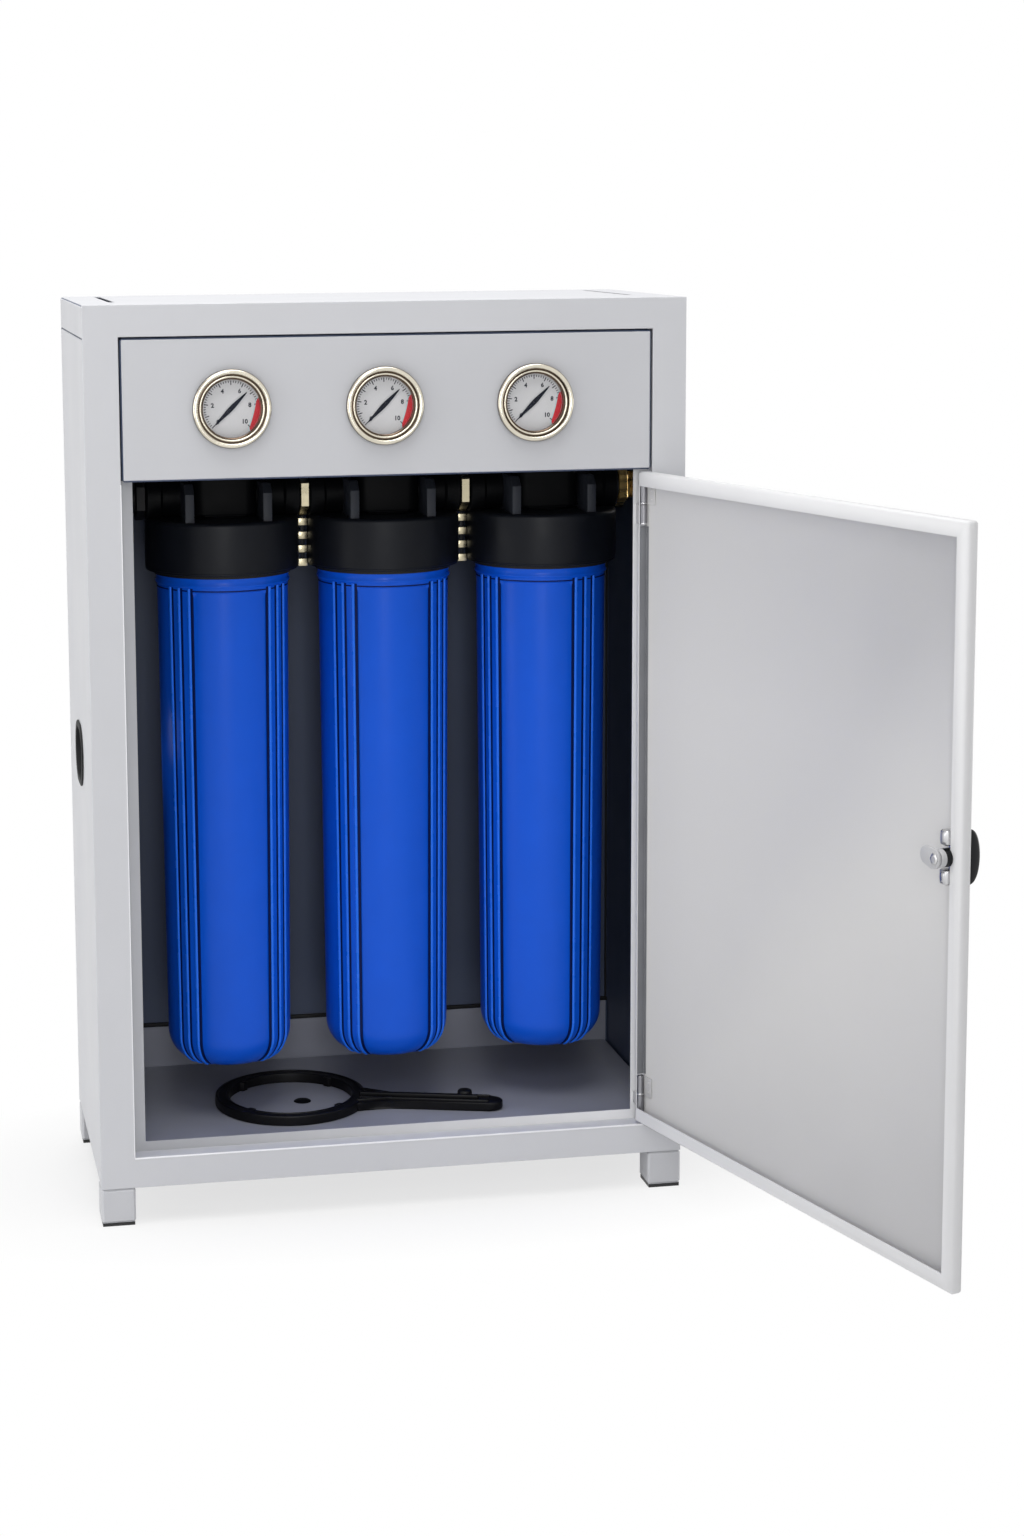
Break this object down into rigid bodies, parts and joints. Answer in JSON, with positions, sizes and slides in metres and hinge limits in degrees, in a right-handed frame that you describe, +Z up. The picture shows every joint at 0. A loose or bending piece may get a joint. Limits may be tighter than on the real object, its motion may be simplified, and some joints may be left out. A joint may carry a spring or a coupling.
{
  "type": "whole house water filter",
  "caption": "Sheet-steel floor cabinet on feet with a hinged door, holding a row of large filter housings with screw-off sumps, pressure gauges above and a spanner.",
  "frame": {"origin": "middle of the whole part's footprint, the open door and its handle included, on the floor", "axes": "+X to the right as seen from the front, +Y towards the back of the cabinet, +Z up; the front faces -Y"},
  "size_m": [0.834, 0.9211, 1.072],
  "materials": {
    "light_grey_powder_coat": "satin powder coat with a fine texture",
    "gauge_panel_powder_coat": "satin powder coat",
    "black_cap_plastic": "moulded, slightly glossy",
    "blue_sump_plastic": "glossy moulded",
    "seal_rubber": "matt black",
    "filter_media": "spun white fibre",
    "red_button_plastic": "glossy",
    "brass": "nickel-tinted brass, as machined",
    "copper_tube": "bright copper",
    "zinc_plated_steel": "zinc plated",
    "polished_nickel": "polished, champagne tint",
    "dial_light_grey": "matt",
    "needle_dark_blue": "satin",
    "black_spanner_plastic": "matt moulded"
  },
  "bodies": {
    "cabinet": {"front_frame": "light_grey_powder_coat", "door_rabbet": "light_grey_powder_coat", "side_panel_left": "light_grey_powder_coat", "side_panel_right": "light_grey_powder_coat", "side_grommet": "seal_rubber", "back_panel": "light_grey_powder_coat", "top_cover": "light_grey_powder_coat", "floor_tray": "light_grey_powder_coat", "foot_front_left": "light_grey_powder_coat", "foot_front_right": "light_grey_powder_coat", "foot_rear_left": "light_grey_powder_coat", "foot_rear_right": "light_grey_powder_coat", "gauge_panel": "gauge_panel_powder_coat", "gauge_case_1": "black_cap_plastic", "gauge_case_2": "black_cap_plastic", "gauge_case_3": "black_cap_plastic", "gauge_dial_1": "dial_light_grey", "gauge_dial_2": "dial_light_grey", "gauge_dial_3": "dial_light_grey", "gauge_bezel_1": "polished_nickel", "gauge_bezel_2": "polished_nickel", "gauge_bezel_3": "polished_nickel", "gauge_tube_1": "copper_tube", "gauge_tube_2": "copper_tube", "gauge_tube_3": "copper_tube", "hinge_frame_half_top": "zinc_plated_steel", "hinge_frame_half_bottom": "zinc_plated_steel", "filter_head_1": "black_cap_plastic", "filter_head_2": "black_cap_plastic", "filter_head_3": "black_cap_plastic", "hex_nipple_1": "brass", "hex_nipple_2": "brass", "spacer_strap_1": "brass", "spacer_strap_2": "brass", "outlet_fitting": "brass", "inlet_elbow": "brass", "head_bracket": "zinc_plated_steel"},
    "door": {"door_panel": "light_grey_powder_coat", "hinge_door_half_top": "zinc_plated_steel", "hinge_door_half_bottom": "zinc_plated_steel", "latch_body": "black_cap_plastic", "latch_bracket": "zinc_plated_steel"},
    "latch": {"latch_handle": "black_cap_plastic", "latch_cam": "zinc_plated_steel"},
    "spanner": {"sump_spanner": "black_spanner_plastic"},
    "needle_1": {"gauge_needle_1": "needle_dark_blue"},
    "button_1": {"relief_button_1": "red_button_plastic"},
    "cartridge_1": {"sealing_ring_1": "seal_rubber", "filter_cartridge_1": "filter_media"},
    "sump_1": {"filter_sump_1": "blue_sump_plastic"},
    "needle_2": {"gauge_needle_2": "needle_dark_blue"},
    "button_2": {"relief_button_2": "red_button_plastic"},
    "cartridge_2": {"sealing_ring_2": "seal_rubber", "filter_cartridge_2": "filter_media"},
    "sump_2": {"filter_sump_2": "blue_sump_plastic"},
    "needle_3": {"gauge_needle_3": "needle_dark_blue"},
    "button_3": {"relief_button_3": "red_button_plastic"},
    "cartridge_3": {"sealing_ring_3": "seal_rubber", "filter_cartridge_3": "filter_media"},
    "sump_3": {"filter_sump_3": "blue_sump_plastic"}
  },
  "joints": [
    {"name": "door_hinge", "type": "hinge", "parent": "cabinet", "child": "door", "pos_m": [0.23603, 0.12719, 0.477], "axis": [0, 0, 1], "range_deg": [-105.8, 0]},
    {"name": "latch_turn", "type": "hinge", "parent": "door", "child": "latch", "pos_m": [0.40192, -0.43591, 0.532], "axis": [0.9622, 0.2723, 0], "range_deg": [0, 180]},
    {"name": "spanner_lift", "type": "slide", "parent": "cabinet", "child": "spanner", "axis": [0, 0, 1], "range_m": [0, 0.024]},
    {"name": "needle_1_turn", "type": "hinge", "parent": "cabinet", "child": "needle_1", "pos_m": [-0.24852, 0.12089, 0.9535], "axis": [0, 1, 0], "range_deg": [0, 270], "stiffness_Nm_per_rad": 0.0001, "springref_deg": -34.38},
    {"name": "button_1_press", "type": "slide", "parent": "cabinet", "child": "button_1", "axis": [0, 0, -1], "range_m": [0, 0.003], "stiffness_N_per_m": 600, "springref_m": -0.001},
    {"name": "sump_1_drop", "type": "slide", "parent": "cabinet", "child": "cartridge_1", "axis": [0, 0, -1], "range_m": [0, 0.018]},
    {"name": "sump_1_turn", "type": "hinge", "parent": "cartridge_1", "child": "sump_1", "pos_m": [-0.24147, 0.28589, 0.752], "axis": [0, 0, -1], "range_deg": [0, 1080]},
    {"name": "needle_2_turn", "type": "hinge", "parent": "cabinet", "child": "needle_2", "pos_m": [-0.07247, 0.12089, 0.9535], "axis": [0, 1, 0], "range_deg": [0, 270], "stiffness_Nm_per_rad": 0.0001, "springref_deg": -34.38},
    {"name": "button_2_press", "type": "slide", "parent": "cabinet", "child": "button_2", "axis": [0, 0, -1], "range_m": [0, 0.003], "stiffness_N_per_m": 600, "springref_m": -0.001},
    {"name": "sump_2_drop", "type": "slide", "parent": "cabinet", "child": "cartridge_2", "axis": [0, 0, -1], "range_m": [0, 0.018]},
    {"name": "sump_2_turn", "type": "hinge", "parent": "cartridge_2", "child": "sump_2", "pos_m": [-0.04547, 0.28589, 0.752], "axis": [0, 0, -1], "range_deg": [0, 1080]},
    {"name": "needle_3_turn", "type": "hinge", "parent": "cabinet", "child": "needle_3", "pos_m": [0.10358, 0.12089, 0.9535], "axis": [0, 1, 0], "range_deg": [0, 270], "stiffness_Nm_per_rad": 0.0001, "springref_deg": -34.38},
    {"name": "button_3_press", "type": "slide", "parent": "cabinet", "child": "button_3", "axis": [0, 0, -1], "range_m": [0, 0.003], "stiffness_N_per_m": 600, "springref_m": -0.001},
    {"name": "sump_3_drop", "type": "slide", "parent": "cabinet", "child": "cartridge_3", "axis": [0, 0, -1], "range_m": [0, 0.018]},
    {"name": "sump_3_turn", "type": "hinge", "parent": "cartridge_3", "child": "sump_3", "pos_m": [0.15053, 0.28589, 0.752], "axis": [0, 0, -1], "range_deg": [0, 1080]}
  ],
  "couplings": [
    {"joint": "sump_1_drop", "follows": "sump_1_turn", "m_per_rad": 0.00095492},
    {"joint": "sump_2_drop", "follows": "sump_2_turn", "m_per_rad": 0.00095492},
    {"joint": "sump_3_drop", "follows": "sump_3_turn", "m_per_rad": 0.00095492}
  ]
}
